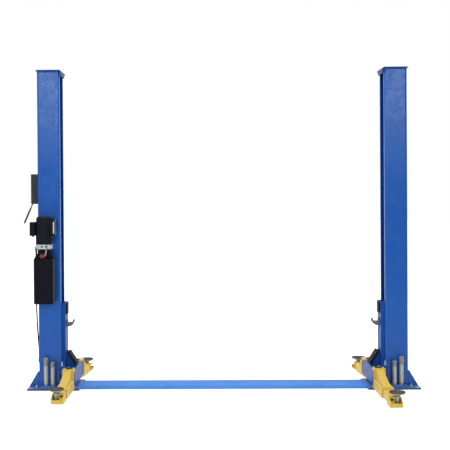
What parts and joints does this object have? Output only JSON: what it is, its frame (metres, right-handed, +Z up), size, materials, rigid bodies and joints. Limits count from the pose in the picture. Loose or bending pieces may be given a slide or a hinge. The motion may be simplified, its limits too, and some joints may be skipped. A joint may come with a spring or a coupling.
{
  "type": "two post car lift",
  "caption": "Floor-plate car lift: a pair of C-section posts with sliding carriages, telescopic swing arms, round pads, a low floor cover and a post-mounted hydraulic power unit.",
  "frame": {"origin": "floor level, midway between the posts, at mid-depth of the columns", "axes": "+X across the bay to the right post seen from the front, +Y to the back, +Z up; the power unit hangs on the left post's front (-Y) face"},
  "size_m": [3.5009, 1.9317, 2.824],
  "materials": {
    "column_enamel": "gloss blue enamel",
    "base_enamel": "gloss blue enamel",
    "cap_enamel": "gloss blue enamel",
    "cover_enamel": "gloss blue enamel",
    "carriage_enamel": "gloss blue enamel",
    "arm_enamel": "gloss yellow enamel",
    "rubber": "matt",
    "zinc_steel": "zinc plated",
    "dark_steel": "oiled",
    "bright_rod": "hard chrome",
    "slide_plastic": "matt",
    "motor_enamel": "satin black",
    "tank_plastic": "moulded",
    "cap_plastic": "moulded",
    "pump_aluminium": "machined",
    "box_plastic": "moulded",
    "lock_enamel": "satin black",
    "handle_steel": "dark red",
    "hose_rubber": "satin"
  },
  "bodies": {
    "root": {"left_column": "column_enamel", "right_column": "column_enamel", "left_base_plate": "base_enamel", "right_base_plate": "base_enamel", "base_gussets": "base_enamel", "top_caps": "cap_enamel", "floor_cover": "cover_enamel", "adapter_racks": "base_enamel", "height_adapters": "zinc_steel", "cylinder_barrels": "motor_enamel", "lock_ladders": "dark_steel", "power_unit_bracket": "base_enamel", "motor_housing": "motor_enamel", "motor_capacitor_cover": "motor_enamel", "motor_switch_box": "box_plastic", "pump_block": "pump_aluminium", "oil_tank": "tank_plastic", "tank_filler_cap": "cap_plastic", "lock_cover": "lock_enamel", "hydraulic_hose": "hose_rubber", "hose_fittings": "zinc_steel"},
    "left_carriage": {"left_carriage": "carriage_enamel", "left_slide_blocks": "slide_plastic", "left_door_guards": "rubber", "left_hanger_hook": "zinc_steel", "left_arm_pins": "dark_steel", "left_arm_locks": "zinc_steel"},
    "left_rod": {"left_cylinder_rod": "bright_rod", "left_chain_sheave": "dark_steel", "left_lift_chain": "dark_steel"},
    "left_front_arm": {"left_front_arm": "arm_enamel"},
    "left_front_extension": {"left_front_extension": "arm_enamel"},
    "left_front_pad": {"left_front_pad": "zinc_steel", "left_front_pad_rubber": "rubber"},
    "left_rear_arm": {"left_rear_arm": "arm_enamel"},
    "left_rear_extension": {"left_rear_extension": "arm_enamel"},
    "left_rear_pad": {"left_rear_pad": "zinc_steel", "left_rear_pad_rubber": "rubber"},
    "right_carriage": {"right_carriage": "carriage_enamel", "right_slide_blocks": "slide_plastic", "right_door_guards": "rubber", "right_hanger_hook": "zinc_steel", "right_arm_pins": "dark_steel", "right_arm_locks": "zinc_steel"},
    "right_rod": {"right_cylinder_rod": "bright_rod", "right_chain_sheave": "dark_steel", "right_lift_chain": "dark_steel"},
    "right_front_arm": {"right_front_arm": "arm_enamel"},
    "right_front_extension": {"right_front_extension": "arm_enamel"},
    "right_front_pad": {"right_front_pad": "zinc_steel", "right_front_pad_rubber": "rubber"},
    "right_rear_arm": {"right_rear_arm": "arm_enamel"},
    "right_rear_extension": {"right_rear_extension": "arm_enamel"},
    "right_rear_pad": {"right_rear_pad": "zinc_steel", "right_rear_pad_rubber": "rubber"},
    "lock_lever": {"lock_lever": "handle_steel"},
    "release_lever": {"release_lever": "bright_rod"}
  },
  "joints": [
    {"name": "left_lift", "type": "slide", "parent": "root", "child": "left_carriage", "axis": [0, 0, 1], "range_m": [0, 1.8]},
    {"name": "left_rod_stroke", "type": "slide", "parent": "root", "child": "left_rod", "axis": [0, 0, 1], "range_m": [0, 0.9]},
    {"name": "left_front_swing", "type": "hinge", "parent": "left_carriage", "child": "left_front_arm", "pos_m": [-1.3495, -0.25, 0.115], "axis": [0, 0, 1], "range_deg": [-4.6, 90.4]},
    {"name": "left_front_slide", "type": "slide", "parent": "left_front_arm", "child": "left_front_extension", "axis": [-0.007, -1, 0], "range_m": [-0.0542, 0.2958]},
    {"name": "left_front_pad_screw", "type": "slide", "parent": "left_front_extension", "child": "left_front_pad", "axis": [0, 0, 1], "range_m": [0, 0.045]},
    {"name": "left_rear_swing", "type": "hinge", "parent": "left_carriage", "child": "left_rear_arm", "pos_m": [-1.3495, 0.25, 0.115], "axis": [0, 0, -1], "range_deg": [-11.4, 83.6]},
    {"name": "left_rear_slide", "type": "slide", "parent": "left_rear_arm", "child": "left_rear_extension", "axis": [0.1115, 0.9938, 0], "range_m": [-0.013, 0.187]},
    {"name": "left_rear_pad_screw", "type": "slide", "parent": "left_rear_extension", "child": "left_rear_pad", "axis": [0, 0, 1], "range_m": [0, 0.045]},
    {"name": "right_lift", "type": "slide", "parent": "root", "child": "right_carriage", "axis": [0, 0, 1], "range_m": [0, 1.8]},
    {"name": "right_rod_stroke", "type": "slide", "parent": "root", "child": "right_rod", "axis": [0, 0, 1], "range_m": [0, 0.9]},
    {"name": "right_front_swing", "type": "hinge", "parent": "right_carriage", "child": "right_front_arm", "pos_m": [1.3495, -0.25, 0.115], "axis": [0, 0, -1], "range_deg": [-5.32, 89.68]},
    {"name": "right_front_slide", "type": "slide", "parent": "right_front_arm", "child": "right_front_extension", "axis": [-0.0056, -1, 0], "range_m": [-0.2289, 0.1211]},
    {"name": "right_front_pad_screw", "type": "slide", "parent": "right_front_extension", "child": "right_front_pad", "axis": [0, 0, 1], "range_m": [0, 0.045]},
    {"name": "right_rear_swing", "type": "hinge", "parent": "right_carriage", "child": "right_rear_arm", "pos_m": [1.3495, 0.25, 0.115], "axis": [0, 0, 1], "range_deg": [-9, 86]},
    {"name": "right_rear_slide", "type": "slide", "parent": "right_rear_arm", "child": "right_rear_extension", "axis": [-0.0698, 0.9976, 0], "range_m": [-0.0452, 0.1548]},
    {"name": "right_rear_pad_screw", "type": "slide", "parent": "right_rear_extension", "child": "right_rear_pad", "axis": [0, 0, 1], "range_m": [0, 0.045]},
    {"name": "lock_lever_pull", "type": "hinge", "parent": "root", "child": "lock_lever", "pos_m": [-1.686, -0.06, 1.656], "axis": [0, 1, 0], "range_deg": [0, 20], "stiffness_Nm_per_rad": 2},
    {"name": "release_lever_turn", "type": "hinge", "parent": "root", "child": "release_lever", "pos_m": [-1.531, -0.3308, 1.272], "axis": [0, 1, 0], "range_deg": [0, 30], "stiffness_Nm_per_rad": 0.5}
  ],
  "couplings": [
    {"joint": "right_lift", "follows": "left_lift", "ratio": 1},
    {"joint": "left_rod_stroke", "follows": "left_lift", "ratio": 0.5},
    {"joint": "right_rod_stroke", "follows": "left_lift", "ratio": 0.5}
  ]
}
